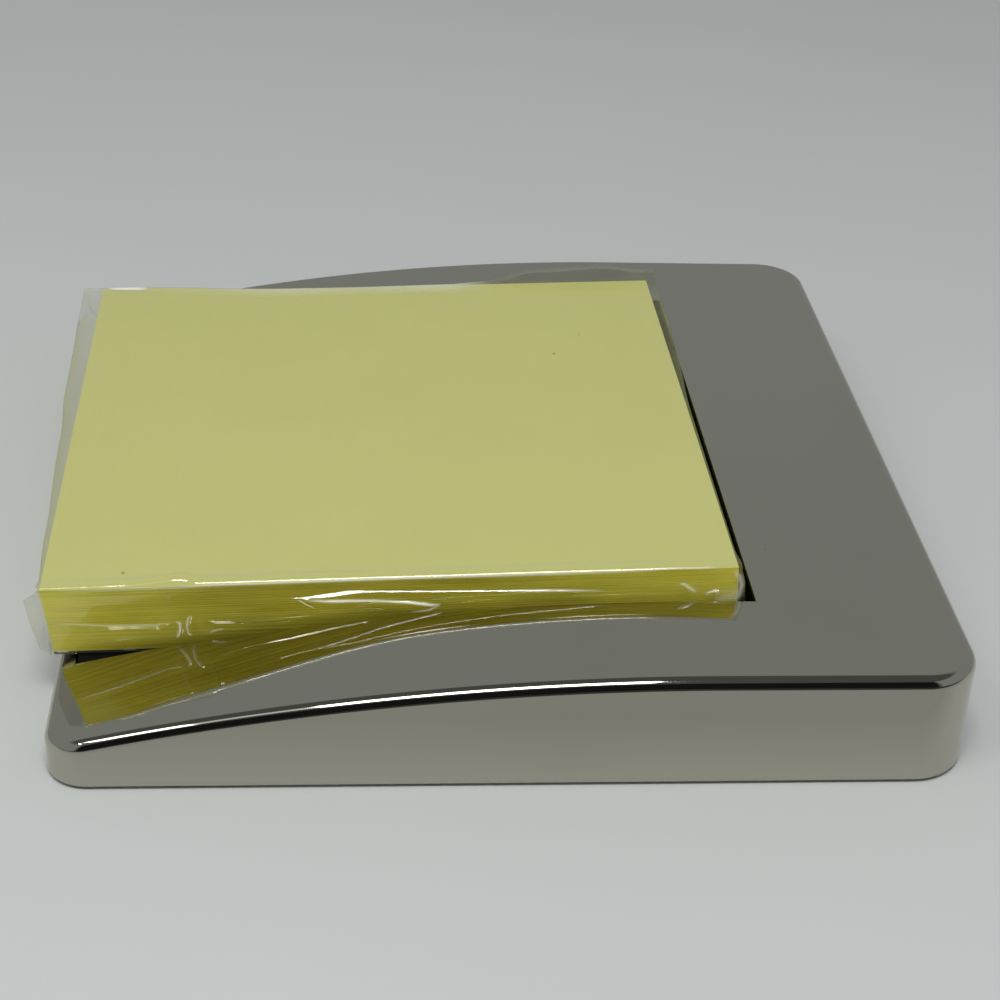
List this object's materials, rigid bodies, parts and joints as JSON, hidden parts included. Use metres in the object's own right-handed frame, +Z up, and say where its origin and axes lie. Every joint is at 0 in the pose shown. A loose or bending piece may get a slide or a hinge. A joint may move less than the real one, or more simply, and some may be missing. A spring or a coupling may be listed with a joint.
{
  "type": "memo holder",
  "caption": "Low mirror-polished metal memo holder with a crowned top, holding a film-wrapped pad of square yellow notes in a sunk pocket.",
  "frame": {"origin": "middle of the cover's footprint, on the underside of the base felt", "axes": "+X to the right, from the low side to the high side; +Y to the back; +Z up"},
  "size_m": [0.1033, 0.108, 0.0173],
  "materials": {
    "polished_nickel": "mirror-polished dark nickel plate on a zinc casting",
    "black_plastic": "fine-textured black moulding",
    "black_steel": "satin black paint",
    "zinc_steel": "bright zinc plate",
    "black_felt": "pressed felt",
    "yellow_paper": "plain uncoated note paper",
    "backing_card": "thin plain dark grey board",
    "clear_film": "thin clear crinkled wrapping film"
  },
  "bodies": {
    "holder": {"cover": "polished_nickel", "pocket_tray": "black_plastic", "base_plate": "black_steel", "base_screws": "zinc_steel", "base_felt": "black_felt"},
    "wrapped_pad": {"note_block": "yellow_paper", "backing_sheet": "backing_card", "wrapper": "clear_film"}
  },
  "joints": [
    {"name": "pad_lift", "type": "slide", "parent": "holder", "child": "wrapped_pad", "axis": [0, 0, 1], "range_m": [0, 0.04]}
  ]
}
